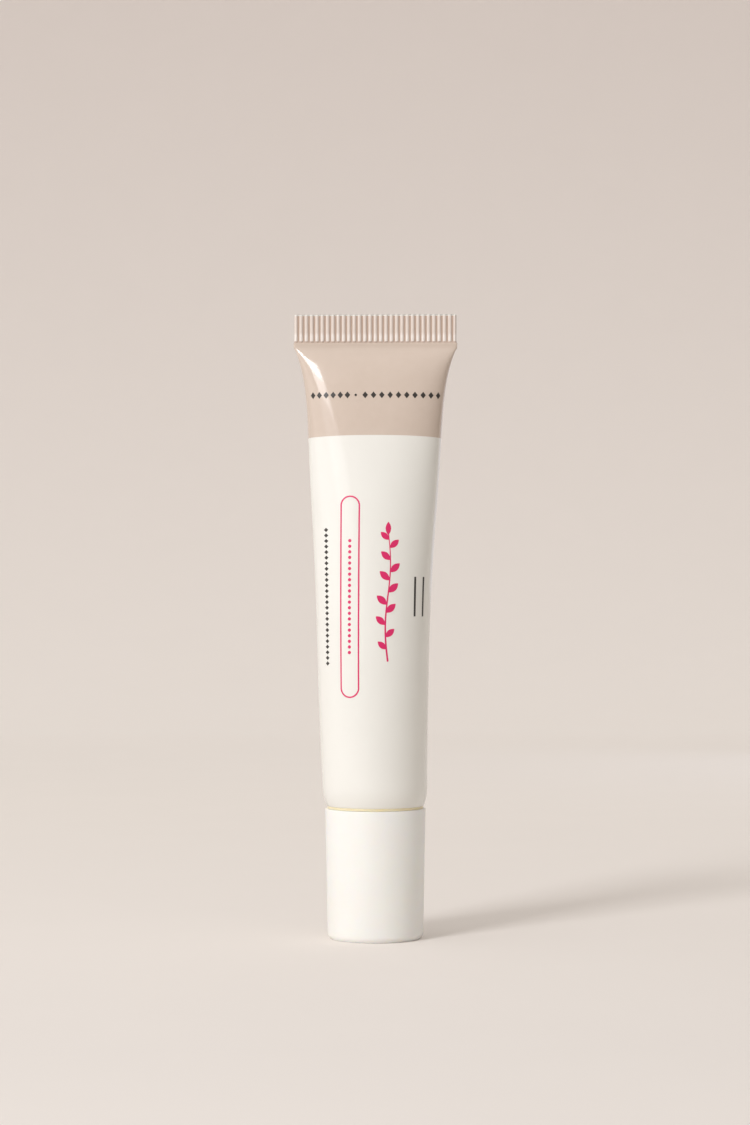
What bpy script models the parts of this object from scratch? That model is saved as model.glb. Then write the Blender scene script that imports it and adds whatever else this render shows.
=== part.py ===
"""Roll-on cuticle oil tube, standing on its screw cap.

A plastic sleeve of constant girth runs from a round shoulder to a flat, ribbed seal.
Its neck holds a ball in a socket and screws into a two-piece cap.
Metres, +Z up, origin at the middle of the cap's foot, front face towards -Y.
"""

import math

import bmesh
import bpy
from mathutils import Vector

MM = 0.001
FULL_TURN = 2.0 * math.pi

# Clearance between neighbouring pieces, and how far one shape runs into another it joins
FIT_GAP = 0.3 * MM
JOIN_OVERLAP = 0.4 * MM

# Sleeve: a round tube pressed flat at the tail, so its girth never changes
SLEEVE_DIAMETER = 19.0 * MM
SLEEVE_WALL = 0.5 * MM
SLEEVE_LENGTH = 89.2 * MM
LIP_ROUND_HEIGHT = 1.8 * MM
LIP_ROUND_INSET = 0.6 * MM
BAND_LENGTH = 22.4 * MM

# Sleeve depth between the lip (0) and the fold (1): a slow wedge plus a belly near the fold
WEDGE_POWER = 1.71
BELLY_SHARE = 0.538
BELLY_REACH_SHARE = 0.0454

# Seal: the flat tail, two walls welded together and grooved from both faces
SEAL_LENGTH = 5.3 * MM
WELD_BELOW_FOLD = 0.7 * MM
GROOVE_PITCH = 0.967 * MM
GROOVE_DEPTH = 0.18 * MM
GROOVE_RUNOUT = 0.4 * MM
GROOVE_ABOVE_FOLD = 0.6 * MM
GROOVE_MOUTH_SHARE = 0.46
GROOVE_FLOOR_SHARE = 0.2

# Head: shoulder disc with a hollow neck that points down into the cap
NECK_BORE = 8.6 * MM
NECK_WALL = 1.2 * MM
NECK_LENGTH = 9.0 * MM
NECK_END_ROUND_SHARE = 0.33
SHOULDER_THICKNESS = 1.5 * MM
SHOULDER_SHOWS = 0.3 * MM
SHOULDER_FILLET = 0.5 * MM

# Roller: ball, and the housing pressed into the neck
BALL_DIAMETER = 8.0 * MM
SOCKET_CLEARANCE = 0.2 * MM
BALL_CAPTURE_SHARE = 0.4
SOCKET_LIP_WALL = 0.6 * MM
SOCKET_ROOT_WALL = 1.2 * MM
FEED_DIAMETER = 2.4 * MM
FEED_LENGTH = 1.0 * MM
CUP_KNEE_SHARE = 0.5
FLANGE_THICKNESS = 1.0 * MM
FLANGE_OVERHANG = 0.3 * MM
FLANGE_CLEARANCE = 0.6 * MM
FLANGE_ROUND_SHARE = 0.3
PLUG_WALL = 0.8 * MM
PLUG_LENGTH = 5.0 * MM
PLUG_LEAD_IN_SHARE = 0.5
BEAD_HEIGHT = 0.15 * MM
BEAD_FLANK_SHARE = 2.0
BEAD_PITCH = 1.6 * MM
BEAD_COUNT = 2

# Cap: outer shell, threaded insert with room for its thread, and a soft pad
THREAD_ROOM = 1.1 * MM
INSERT_WALL = 0.75 * MM
INSERT_END_WALL = 0.9 * MM
PAD_THICKNESS = 1.0 * MM
PAD_ROUND_SHARE = 0.2
CAP_WALL = 1.0 * MM
CAP_END_WALL = 1.4 * MM
CAP_FLARE = 0.45 * MM
CAP_FOOT_ROUND = 1.0 * MM
RIM_ROUND_SHARE = 0.25

# Second material slot of the sleeve
BAND_SLOT = 1

# Facets
TURN_STEPS = 40
BALL_RINGS = 14
SOCKET_STEPS = 8
SLEEVE_POINTS = 48
SLEEVE_ROWS = 20
OIL_ROWS = 10
LIP_ROWS = 4
ARC_STEPS = 3
ROW_CROWDING = 2.2
SMOOTH_ANGLE = math.radians(35.0)
MERGE_DISTANCE = 0.001 * MM

# Radii, worked out from the ball and the bore outwards
BALL_RADIUS = BALL_DIAMETER / 2
SOCKET_RADIUS = BALL_RADIUS + SOCKET_CLEARANCE
CUP_RADIUS = SOCKET_RADIUS + SOCKET_ROOT_WALL
NECK_BORE_RADIUS = NECK_BORE / 2
NECK_RADIUS = NECK_BORE_RADIUS + NECK_WALL
BEAD_RADIUS = NECK_BORE_RADIUS - FIT_GAP
PLUG_RADIUS = BEAD_RADIUS - BEAD_HEIGHT
PLUG_BORE_RADIUS = PLUG_RADIUS - PLUG_WALL
FLANGE_LEAST_RADIUS = CUP_RADIUS + FLANGE_OVERHANG
INSERT_BORE_RADIUS = max(
    NECK_RADIUS + THREAD_ROOM, FLANGE_LEAST_RADIUS + FLANGE_CLEARANCE
)
FLANGE_RADIUS = INSERT_BORE_RADIUS - FLANGE_CLEARANCE
CAP_BORE_RADIUS = INSERT_BORE_RADIUS + INSERT_WALL + FIT_GAP
CAP_FOOT_RADIUS = CAP_BORE_RADIUS + CAP_WALL
SLEEVE_RADIUS = SLEEVE_DIAMETER / 2

# Seal plan: half the girth at mid-wall, plus the wall folded over at its two ends
SEAL_THICKNESS = 2 * SLEEVE_WALL
SEAL_WIDTH = math.pi * (SLEEVE_DIAMETER - SLEEVE_WALL) / 2 + SLEEVE_WALL

# Heights above the foot, stacked from the cap's end wall up to the tail
INSERT_FOOT = CAP_END_WALL + FIT_GAP
PAD_FOOT = INSERT_FOOT + INSERT_END_WALL + FIT_GAP
BALL_CENTRE = PAD_FOOT + PAD_THICKNESS + FIT_GAP + BALL_RADIUS
SOCKET_LIP = BALL_CENTRE - BALL_CAPTURE_SHARE * BALL_RADIUS
CUP_KNEE = BALL_CENTRE + CUP_KNEE_SHARE * BALL_RADIUS
FLANGE_FOOT = BALL_CENTRE + SOCKET_RADIUS + FEED_LENGTH
FLANGE_TOP = FLANGE_FOOT + FLANGE_THICKNESS
PLUG_TOP = FLANGE_TOP + PLUG_LENGTH
NECK_END = FLANGE_TOP + FIT_GAP
SHOULDER_FOOT = NECK_END + NECK_LENGTH
SHOULDER_TOP = SHOULDER_FOOT + SHOULDER_THICKNESS
CAP_RIM = SHOULDER_FOOT - FIT_GAP
SLEEVE_FOOT = SHOULDER_FOOT + SHOULDER_SHOWS
SLEEVE_TOP = SLEEVE_FOOT + SLEEVE_LENGTH
BAND_FOOT = SLEEVE_TOP - BAND_LENGTH
FOLD = SLEEVE_TOP - SEAL_LENGTH
WELD_FOOT = FOLD - WELD_BELOW_FOLD
GROOVE_FOOT = FOLD + GROOVE_ABOVE_FOLD


def linear(channel):
    """One sRGB channel, 0 to 1, as linear light."""
    if channel <= 0.04045:
        return channel / 12.92
    return ((channel + 0.055) / 1.055) ** 2.4


def plastic(name, hex_colour, roughness, metallic=0.0, alpha=1.0):
    """A Principled material of one sRGB colour."""
    material = bpy.data.materials.new(name)
    material.use_nodes = True
    shader = material.node_tree.nodes["Principled BSDF"]
    channels = [int(hex_colour[i : i + 2], 16) / 255 for i in (0, 2, 4)]
    colour = [linear(channel) for channel in channels] + [1.0]
    shader.inputs["Base Color"].default_value = colour
    shader.inputs["Roughness"].default_value = roughness
    shader.inputs["Metallic"].default_value = metallic
    shader.inputs["Alpha"].default_value = alpha
    material.diffuse_color = colour
    return material


def add_object(name, mesh, collection, *materials):
    """Links a mesh as a named object, shaded smooth up to its sharp edges."""
    for material in materials:
        mesh.materials.append(material)
    mesh.shade_smooth()
    mesh.set_sharp_from_angle(angle=SMOOTH_ANGLE)
    obj = bpy.data.objects.new(name, mesh)
    collection.objects.link(obj)
    return obj


def mesh_of(bm, name):
    """Ends a bmesh as a mesh with its faces pointing out."""
    bmesh.ops.recalc_face_normals(bm, faces=bm.faces)
    mesh = bpy.data.meshes.new(name)
    bm.to_mesh(mesh)
    bm.free()
    return mesh


def rounded(corners):
    """Profile points from (radius, height, rounding) corners, each rounding an arc."""
    points = []
    count = len(corners)
    for i, (r, z, rounding) in enumerate(corners):
        corner = Vector((r, z))
        if not rounding:
            points.append(corner)
            continue
        before = Vector(corners[i - 1][:2]) - corner
        after = Vector(corners[(i + 1) % count][:2]) - corner
        half_angle = before.angle(after) / 2
        setback = rounding / math.tan(half_angle)
        centre = corner + (before.normalized() + after.normalized()).normalized() * (
            rounding / math.sin(half_angle)
        )
        start = corner + before.normalized() * setback - centre
        end = corner + after.normalized() * setback - centre
        sweep = start.angle_signed(end)
        for step in range(ARC_STEPS + 1):
            turn = -sweep * step / ARC_STEPS
            spoke = Vector(
                (
                    start.x * math.cos(turn) - start.y * math.sin(turn),
                    start.x * math.sin(turn) + start.y * math.cos(turn),
                )
            )
            points.append(centre + spoke)
    return points


def turned(name, profile, collection, material, closed=True):
    """Turns a profile about Z with a Screw modifier.

    The profile runs down its outer side. A closed one is a ring round the axis,
    and an open one starts and ends on the axis.
    """
    mesh = bpy.data.meshes.new(name)
    vertices = [(r, 0.0, z) for r, z in profile]
    edges = [(i, i + 1) for i in range(len(vertices) - 1)]
    if closed:
        edges.append((len(vertices) - 1, 0))
    mesh.from_pydata(vertices, edges, [])
    obj = add_object(name, mesh, collection, material)
    screw = obj.modifiers.new("Turn", "SCREW")
    screw.axis = "Z"
    screw.angle = FULL_TURN
    screw.steps = TURN_STEPS
    screw.render_steps = TURN_STEPS
    screw.use_merge_vertices = True
    screw.merge_threshold = MERGE_DISTANCE
    return obj


def cap_flare(z):
    """How much wider the cap is at this height than at its foot."""
    return CAP_FLARE * z / CAP_RIM


def make_cap_shell(collection, material):
    """Outer cap: a flared cup with a round foot, open at the rim."""
    rim_radius = CAP_FOOT_RADIUS + cap_flare(CAP_RIM)
    floor_radius = CAP_BORE_RADIUS + cap_flare(CAP_END_WALL)
    rim_round = RIM_ROUND_SHARE * CAP_WALL
    profile = rounded(
        [
            (0.0, CAP_END_WALL, 0.0),
            (floor_radius, CAP_END_WALL, 0.0),
            (rim_radius - CAP_WALL, CAP_RIM, rim_round),
            (rim_radius, CAP_RIM, rim_round),
            (CAP_FOOT_RADIUS, 0.0, CAP_FOOT_ROUND),
            (0.0, 0.0, 0.0),
        ]
    )
    return turned("cap_shell", profile, collection, material, closed=False)


def make_cap_insert(collection, material):
    """Inner cap: a plain cup whose bore leaves room for the thread."""
    foot_radius = CAP_BORE_RADIUS - FIT_GAP + cap_flare(INSERT_FOOT)
    rim_radius = CAP_BORE_RADIUS - FIT_GAP + cap_flare(CAP_RIM)
    inner_floor = INSERT_FOOT + INSERT_END_WALL
    edge_round = RIM_ROUND_SHARE * INSERT_WALL
    profile = rounded(
        [
            (0.0, inner_floor, 0.0),
            (INSERT_BORE_RADIUS, inner_floor, 0.0),
            (INSERT_BORE_RADIUS, CAP_RIM, edge_round),
            (rim_radius, CAP_RIM, edge_round),
            (foot_radius, INSERT_FOOT, edge_round),
            (0.0, INSERT_FOOT, 0.0),
        ]
    )
    return turned("cap_insert", profile, collection, material, closed=False)


def make_seal_pad(collection, material):
    """Soft disc that lies in the insert and faces the ball."""
    radius = INSERT_BORE_RADIUS - FIT_GAP
    top = PAD_FOOT + PAD_THICKNESS
    edge_round = PAD_ROUND_SHARE * PAD_THICKNESS
    profile = rounded(
        [
            (0.0, top, 0.0),
            (radius, top, edge_round),
            (radius, PAD_FOOT, edge_round),
            (0.0, PAD_FOOT, 0.0),
        ]
    )
    return turned("cap_seal_pad", profile, collection, material, closed=False)


def make_ball(collection, material):
    """The roller, with its origin at its own centre."""
    bm = bmesh.new()
    bmesh.ops.create_uvsphere(
        bm, u_segments=2 * BALL_RINGS, v_segments=BALL_RINGS, radius=BALL_RADIUS
    )
    ball = add_object("roller_ball", mesh_of(bm, "roller_ball"), collection, material)
    ball.location.z = BALL_CENTRE
    return ball


def socket_arc():
    """Inside of the ball socket, from its feed hole down to its lip."""
    start = math.acos(FEED_DIAMETER / 2 / SOCKET_RADIUS)
    end = -math.asin((BALL_CENTRE - SOCKET_LIP) / SOCKET_RADIUS)
    for step in range(SOCKET_STEPS + 1):
        angle = start + (end - start) * step / SOCKET_STEPS
        yield Vector(
            (
                SOCKET_RADIUS * math.cos(angle),
                BALL_CENTRE + SOCKET_RADIUS * math.sin(angle),
            )
        )


def plug_side():
    """Corners down the outside of the plug, past the beads that grip the neck's bore."""
    lead_in = PLUG_LEAD_IN_SHARE * PLUG_WALL
    yield PLUG_RADIUS - lead_in, PLUG_TOP, 0.0
    yield PLUG_RADIUS, PLUG_TOP - lead_in, 0.0
    middle = (PLUG_TOP - lead_in + FLANGE_TOP) / 2
    flank = BEAD_FLANK_SHARE * BEAD_HEIGHT
    for i in range(BEAD_COUNT):
        z = middle - BEAD_PITCH * (i - (BEAD_COUNT - 1) / 2)
        yield PLUG_RADIUS, z + flank, 0.0
        yield BEAD_RADIUS, z, 0.0
        yield PLUG_RADIUS, z - flank, 0.0
    yield PLUG_RADIUS, FLANGE_TOP, 0.0


def make_housing(collection, material):
    """Ball socket, flange and hollow plug, with a feed hole between plug and ball."""
    mouth_radius = math.sqrt(SOCKET_RADIUS**2 - (BALL_CENTRE - SOCKET_LIP) ** 2)
    flange_round = FLANGE_ROUND_SHARE * FLANGE_THICKNESS
    outside = rounded(
        [
            (PLUG_BORE_RADIUS, FLANGE_FOOT, 0.0),
            (PLUG_BORE_RADIUS, PLUG_TOP, 0.0),
            *plug_side(),
            (FLANGE_RADIUS, FLANGE_TOP, flange_round),
            (FLANGE_RADIUS, FLANGE_FOOT, flange_round),
            (CUP_RADIUS, FLANGE_FOOT, 0.0),
            (CUP_RADIUS, CUP_KNEE, 0.0),
            (mouth_radius + SOCKET_LIP_WALL, SOCKET_LIP, 0.0),
        ]
    )
    feed = Vector((FEED_DIAMETER / 2, FLANGE_FOOT))
    profile = outside + list(socket_arc())[::-1] + [feed]
    return turned("roller_housing", profile, collection, material)


def lip_inset(z):
    """How far the sleeve is drawn in at this height by the rounding at its lip."""
    rise = (z - SLEEVE_FOOT) / LIP_ROUND_HEIGHT
    if rise >= 1.0:
        return 0.0
    return LIP_ROUND_INSET * (1.0 - math.sqrt(1.0 - (1.0 - rise) ** 2))


def sleeve_depth(z):
    """Half the sleeve's outer depth, front to back, at this height."""
    flat = SEAL_THICKNESS / 2
    below_fold = (FOLD - z) / (FOLD - SLEEVE_FOOT)
    wedge = 1.0 - (1.0 - below_fold) ** WEDGE_POWER
    belly = 1.0 - math.exp(-below_fold / BELLY_REACH_SHARE)
    return flat + (SLEEVE_RADIUS - flat) * (
        (1.0 - BELLY_SHARE) * wedge + BELLY_SHARE * belly
    )


def half_width(depth):
    """Half width of the ellipse with this half depth and the round sleeve's girth.

    Ramanujan's girth of an ellipse, pi * (3(a + b) - sqrt((3a + b)(a + 3b))), solved for a.
    """
    b = 6.0 * SLEEVE_DIAMETER - 8.0 * depth
    c = 6.0 * depth**2 - 6.0 * SLEEVE_DIAMETER * depth + SLEEVE_DIAMETER**2
    return (b + math.sqrt(b**2 - 24.0 * c)) / 12.0


def sleeve_section(z, inset=0.0):
    """Half width and half depth at this height, drawn in by a wall or a gap."""
    depth = sleeve_depth(z)
    drawn_in = inset + lip_inset(z)
    return half_width(depth) - drawn_in, depth - drawn_in


def ring(half_x, half_y, z):
    """Points round an ellipse at one height."""
    turns = [FULL_TURN * i / SLEEVE_POINTS for i in range(SLEEVE_POINTS)]
    return [Vector((half_x * math.cos(t), half_y * math.sin(t), z)) for t in turns]


def sleeve_heights(low, high, rows):
    """Heights from low to high, closer together where the sleeve flattens."""
    shares = [(1.0 - i / rows) ** ROW_CROWDING for i in range(rows + 1)]
    return [high - (high - low) * share for share in shares]


def lip_heights():
    """Heights up the rounding at the sleeve's lip, closer together at its foot."""
    shares = [(i / LIP_ROWS) ** ROW_CROWDING for i in range(LIP_ROWS)]
    return [SLEEVE_FOOT + LIP_ROUND_HEIGHT * share for share in shares]


def loft(rings):
    """A closed bmesh through rings of equal count, with a face across each end."""
    bm = bmesh.new()
    rows = [[bm.verts.new(point) for point in points] for points in rings]
    count = len(rows[0])
    for lower, upper in zip(rows, rows[1:]):
        for i in range(count):
            j = (i + 1) % count
            bm.faces.new((lower[i], lower[j], upper[j], upper[i]))
    bm.faces.new(rows[0])
    bm.faces.new(rows[-1])
    return bm


def seal_outline(z, groove_depth):
    """Plan of the flat seal: round ends, and grooves of this depth along both faces."""
    half = SEAL_THICKNESS / 2
    straight = SEAL_WIDTH / 2 - half
    mouth = GROOVE_PITCH * GROOVE_MOUTH_SHARE / 2
    floor = GROOVE_PITCH * GROOVE_FLOOR_SHARE / 2
    last = int(2 * (straight - mouth) / GROOVE_PITCH)
    front = []
    for i in range(last + 1):
        middle = GROOVE_PITCH * (i - last / 2)
        for x, depth in (
            (middle - mouth, 0.0),
            (middle - floor, groove_depth),
            (middle + floor, groove_depth),
            (middle + mouth, 0.0),
        ):
            front.append((x, depth - half))
    turns = [math.pi * (i / (2 * ARC_STEPS) - 0.5) for i in range(2 * ARC_STEPS + 1)]
    end = [(straight + half * math.cos(t), half * math.sin(t)) for t in turns]
    side = front + end
    plan = side + [(-x, -y) for x, y in side]
    return [Vector((x, y, z)) for x, y in plan]


def make_seal_block(collection, materials):
    """The flat seal that is joined to the sleeve's tail, all in the band's colour."""
    bm = loft(
        [
            seal_outline(FOLD - JOIN_OVERLAP, 0.0),
            seal_outline(GROOVE_FOOT, 0.0),
            seal_outline(GROOVE_FOOT + GROOVE_RUNOUT, GROOVE_DEPTH),
            seal_outline(SLEEVE_TOP, GROOVE_DEPTH),
        ]
    )
    block = add_object("seal_block", mesh_of(bm, "seal_block"), collection, *materials)
    for face in block.data.polygons:
        face.material_index = BAND_SLOT
    block.hide_render = True
    block.display_type = "WIRE"
    return block


def make_sleeve(collection, helpers, *materials):
    """Sleeve: a hollow loft, round at the lip and flat at the fold, joined to its seal.

    The materials are the plain sleeve's and the printed band's, in that order.
    """
    above_lip = sleeve_heights(SLEEVE_FOOT + LIP_ROUND_HEIGHT, FOLD, SLEEVE_ROWS)
    outer_heights = sorted(lip_heights() + above_lip + [BAND_FOOT])
    inner_heights = [z for z in outer_heights if z < WELD_FOOT] + [WELD_FOOT]
    inner = [ring(*sleeve_section(z, SLEEVE_WALL), z) for z in inner_heights]
    outer = [ring(*sleeve_section(z), z) for z in outer_heights]
    mesh = mesh_of(loft(inner[::-1] + outer), "tube_sleeve")
    sleeve = add_object("tube_sleeve", mesh, collection, *materials)
    for face in mesh.polygons:
        face.material_index = BAND_SLOT if face.center.z > BAND_FOOT else 0
    join = sleeve.modifiers.new("Join seal", "BOOLEAN")
    join.operation = "UNION"
    join.solver = "EXACT"
    join.object = make_seal_block(helpers, materials)
    return sleeve


def make_head(collection, material):
    """Shoulder disc that fills the sleeve's lip, and the neck below it."""
    rim_heights = [z for z in lip_heights() if z < SHOULDER_TOP] + [SHOULDER_TOP]
    rim = []
    for z in rim_heights[::-1]:
        rim.append((sleeve_section(z, SLEEVE_WALL + FIT_GAP)[0], z, 0.0))
    profile = rounded(
        [
            (NECK_BORE_RADIUS, SHOULDER_TOP, 0.0),
            *rim,
            (rim[-1][0], SHOULDER_FOOT, 0.0),
            (NECK_RADIUS, SHOULDER_FOOT, SHOULDER_FILLET),
            (NECK_RADIUS, NECK_END, NECK_END_ROUND_SHARE * NECK_WALL),
            (NECK_BORE_RADIUS, NECK_END, 0.0),
        ]
    )
    return turned("tube_head", profile, collection, material)


def make_oil(collection, material):
    """Oil from the plug's floor up to the weld, as one solid clear of every wall."""
    stem = [
        (PLUG_BORE_RADIUS, FLANGE_FOOT),
        (PLUG_BORE_RADIUS, PLUG_TOP),
        (NECK_BORE_RADIUS, PLUG_TOP),
        (NECK_BORE_RADIUS, SHOULDER_TOP),
    ]
    rings = []
    for bore, z in stem:
        rings.append(ring(bore - FIT_GAP, bore - FIT_GAP, z + FIT_GAP))
    for z in sleeve_heights(SHOULDER_TOP + FIT_GAP, WELD_FOOT - FIT_GAP, OIL_ROWS):
        rings.append(ring(*sleeve_section(z, SLEEVE_WALL + FIT_GAP), z))
    return add_object("oil_fill", mesh_of(loft(rings), "oil_fill"), collection, material)


def clear_scene():
    """Removes what the scene holds at the start."""
    for obj in list(bpy.data.objects):
        bpy.data.objects.remove(obj, do_unlink=True)


def new_collection(name):
    collection = bpy.data.collections.new(name)
    bpy.context.scene.collection.children.link(collection)
    return collection


def axis_empty(name, collection, pieces, parent=None):
    """An empty on a joint's axis that carries the pieces of one moving body."""
    empty = bpy.data.objects.new(name, None)
    collection.objects.link(empty)
    empty.parent = parent
    for piece in pieces:
        piece.parent = empty
    return empty


def main():
    clear_scene()
    parts = new_collection("cuticle_oil_rollerball")
    helpers = new_collection("cutters")

    white_pe = plastic("white_pe_sleeve", "F6F2EA", 0.35)
    printed_band = plastic("taupe_printed_band", "D6C2B4", 0.35)
    natural_pe = plastic("natural_pe_head", "EBDDB0", 0.4)
    clear_pp = plastic("natural_pp_housing", "E9E6DC", 0.3)
    steel = plastic("polished_steel_ball", "C8C8C8", 0.08, metallic=1.0)
    cap_pp = plastic("ivory_pp_cap", "FBF6EC", 0.4)
    insert_pp = plastic("white_pp_insert", "F4F1E8", 0.45)
    foam = plastic("white_foam_pad", "EFEDE6", 0.8)
    oil = plastic("golden_oil", "E8C25A", 0.05, alpha=0.6)

    make_cap_shell(parts, cap_pp)
    make_cap_insert(parts, insert_pp)
    pad = make_seal_pad(parts, foam)
    sleeve = make_sleeve(parts, helpers, white_pe, printed_band)
    head = make_head(parts, natural_pe)
    housing = make_housing(parts, clear_pp)
    ball = make_ball(parts, steel)
    fill = make_oil(parts, oil)

    turn_axis = axis_empty("tube_turn_axis", parts, [pad])
    tube = axis_empty("tube_lift_axis", parts, [sleeve, head, housing, fill], turn_axis)
    ball.parent = tube


main()
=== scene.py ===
"""Looks of the roll-on cuticle oil tube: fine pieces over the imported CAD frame.

Shapes are written in millimetres and scaled to metres when a piece is finished.
"""

import math

import bmesh
import bpy
import numpy as np
from mathutils import Matrix, Vector


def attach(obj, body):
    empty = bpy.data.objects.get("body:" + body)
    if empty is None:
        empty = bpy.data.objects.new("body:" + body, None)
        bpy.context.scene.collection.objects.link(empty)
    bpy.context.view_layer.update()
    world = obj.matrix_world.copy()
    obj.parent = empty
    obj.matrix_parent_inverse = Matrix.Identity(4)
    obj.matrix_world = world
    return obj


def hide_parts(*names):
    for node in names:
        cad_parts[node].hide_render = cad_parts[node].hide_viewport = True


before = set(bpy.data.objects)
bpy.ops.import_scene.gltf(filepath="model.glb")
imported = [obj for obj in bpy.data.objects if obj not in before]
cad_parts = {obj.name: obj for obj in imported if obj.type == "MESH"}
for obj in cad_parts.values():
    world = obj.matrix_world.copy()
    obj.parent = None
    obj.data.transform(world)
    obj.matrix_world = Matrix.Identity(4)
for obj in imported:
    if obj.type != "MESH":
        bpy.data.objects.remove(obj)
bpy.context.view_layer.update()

MM = 0.001
FULL_TURN = 2.0 * math.pi

# Heights above the cap's foot, mm
CAP_FLOOR = 1.4
INSERT_FOOT = 1.7
INSERT_FLOOR = 2.6
PAD_FOOT = 2.9
PAD_TOP = 3.9
SOCKET_LIP = 6.6
BALL_CENTRE = 8.2
CUP_KNEE = 10.2
FLANGE_FOOT = 13.4
OIL_FOOT = 13.8
FLANGE_TOP = 14.4
NECK_END = 14.7
PLUG_TOP = 19.4
INSERT_RIM = 23.1
CAP_RIM = 23.45
SLEEVE_FOOT = 23.95
SHOULDER_TOP = 25.2
PRINT_MIDDLE = 61.78
BAND_FOOT = 90.85
BAND_PRINT = 98.15
OIL_TOP = 105.6
WELD_FOOT = 106.6
FOLD = 107.9
RIB_FOOT = 108.14
SLEEVE_TOP = 113.2

# Sleeve, mm
SLEEVE_DIAMETER = 18.97
SLEEVE_RADIUS = SLEEVE_DIAMETER / 2
SLEEVE_WALL = 0.5
SEAL_HALF = 0.5
BAND_DIP = 0.3
FILM = 0.02

# The sleeve's rounded foot, mm, and the share of its height that its edge takes
LIP_HEIGHT = 3.5
LIP_INSET = 0.72
LIP_ROUND = 0.07
LIP_ROUND_SHARE = 0.03

# From the fold down to the foot the depth is a slow wedge plus a belly near the fold
WEDGE_POWER = 1.71
BELLY_SHARE = 0.538
BELLY_REACH = 0.0454

# What the section's power adds to an ellipse's 2 near the fold: flat faces, tight ends
FLAT_FACES = 0.95
FLAT_FACES_REACH = 0.2
FLAT_FACES_FALL = 2.5
TIGHT_ENDS = 6.0
TIGHT_ENDS_REACH = 0.013

# Bow of the soft sleeve to the left, mm, and the powers that place and taper it
BOW = 0.4
BOW_PLACE = 0.66
BOW_TAPER = 1.5

# Where the soft sleeve is wider than a clean tube: height, reach and half width, mm
SWELLINGS = ((42.0, 11.0, 0.16), (84.0, 11.0, 0.2))
FOLD_EARS = (107.08, 0.38, 0.18)

# How finely the sleeve's sections are worked out
SECTION_POINTS = 1441
PLAN_STEPS = 160
PLAN_CROWDING = 1.7
GIRTH_STEPS = 18

# Ribbed seal, mm
GROOVES = 30
RIB_PITCH = 0.967
RIB_HALF = 0.31
RIB_FOOT_ROUND = 0.3
RIB_RISE = 0.2
FLAT_INSET = 0.13
BARE_EDGE = 0.2
SEAL_STRAIGHT = 14.27
CUT_FALL = 0.1
CUT_ROUND = 0.05

# Painted light on the ribbed seal: painted shade in the grooves and just under the ribs, and a
# painted highlight along each ridge, lightest at its foot. Heights over the ribs' foot, mm,
# and the distance from a rib's middle as a share of the pitch
PAINTED_SHADE_RISE = (-0.35, 0.3)
PAINTED_HIGHLIGHT_RISE = (0.0, 0.3)
PAINTED_FOOT_HIGHLIGHT = (1.9, 1.0)
PAINTED_HIGHLIGHT_FLANK = (0.38, 0.28)

# Threads, mm
THREAD_LEAD = 3.0
THREAD_HALF = 0.72
THREAD_FLANK = 0.45
THREAD_FADE = 0.6
THREAD_STEP = 0.14
THREAD_WALL_TOP = 22.9
NECK_RADIUS = 5.5
NECK_CREST = 0.85
BORE_RADIUS = 6.6
BORE_CREST = 0.46

# Meshing
TURN_STEPS = 96
BEVEL_STEPS = 4
PRINT_STEP_ROUND = 0.45
PRINT_STEP_UP = 1.5
HAIR = 1e-6
MERGE = 1e-5
SLIVER = 1e-4
ON_CORNER = 1e-4
ON_WALL = 1e-3
SHARP_ANGLE = math.radians(35.0)

# Paper sweep, mm, and what it adds to its own light along its run from front to top
SWEEP_FRONT = -1200.0
SWEEP_BACK = 700.0
SWEEP_BEND = 500.0
SWEEP_HEIGHT = 1500.0
SWEEP_HALF_WIDTH = 2000.0
SWEEP_STEPS = 24
SWEEP_GLOW = (
    (0.278, "232329"),
    (0.305, "434040"),
    (0.39, "66625E"),
    (0.5, "7C7977"),
    (0.733, "665C5B"),
)

# Softboxes aimed at the tube: name, azimuth from the front and elevation in degrees,
# distance, width and height in metres, watts and colour
LIGHT_AIM = 0.06
SOFTBOXES = (
    ("key_left", -38.0, 36.5, 1.0, 0.24, 0.335, 3.83, "F9FAFD"),
    ("key_left_low", -38.0, 22.0, 1.0, 0.27, 0.175, 0.93, "F9FAFD"),
    ("key_left_foot", -38.0, 13.0, 1.0, 0.36, 0.14, 0.2, "F9FAFD"),
    ("window_left", -66.0, 8.0, 1.0, 0.9, 0.22, 0.35, "F4FAFF"),
    ("window_right", 148.0, 10.0, 0.6, 0.34, 0.22, 0.1, "CDDEFF"),
)

# Fill from the world: its mean strength, and how that grows along X, Y and Z
FILL_LEVEL = 0.347
FILL_SLOPE = (-0.18, 0.0, 0.48)

# Camera, metres and degrees
CAMERA_PLACE = (-0.00008, -0.45045, 0.0584)
CAMERA_RISE = 1.224
CAMERA_LENS = 79.28

# Sockets of the colour mix, which share their names with its other kinds
MIX_FACTOR, MIX_A, MIX_B, MIX_RESULT = 0, 6, 7, 2


def linear(channel):
    """One sRGB channel, 0 to 1, as linear light."""
    if channel <= 0.04045:
        return channel / 12.92
    return ((channel + 0.055) / 1.055) ** 2.4


def colour(code):
    """Linear RGBA of an sRGB hex colour."""
    return [linear(int(code[i : i + 2], 16) / 255) for i in (0, 2, 4)] + [1.0]


def add_node(tree, kind, inputs=(), **settings):
    """Adds a node with its settings. An input's value may be a socket to link."""
    made = tree.nodes.new(kind)
    for name, value in settings.items():
        setattr(made, name, value)
    for name, value in dict(inputs).items():
        if isinstance(value, bpy.types.NodeSocket):
            tree.links.new(value, made.inputs[name])
        else:
            made.inputs[name].default_value = value
    return made


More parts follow.
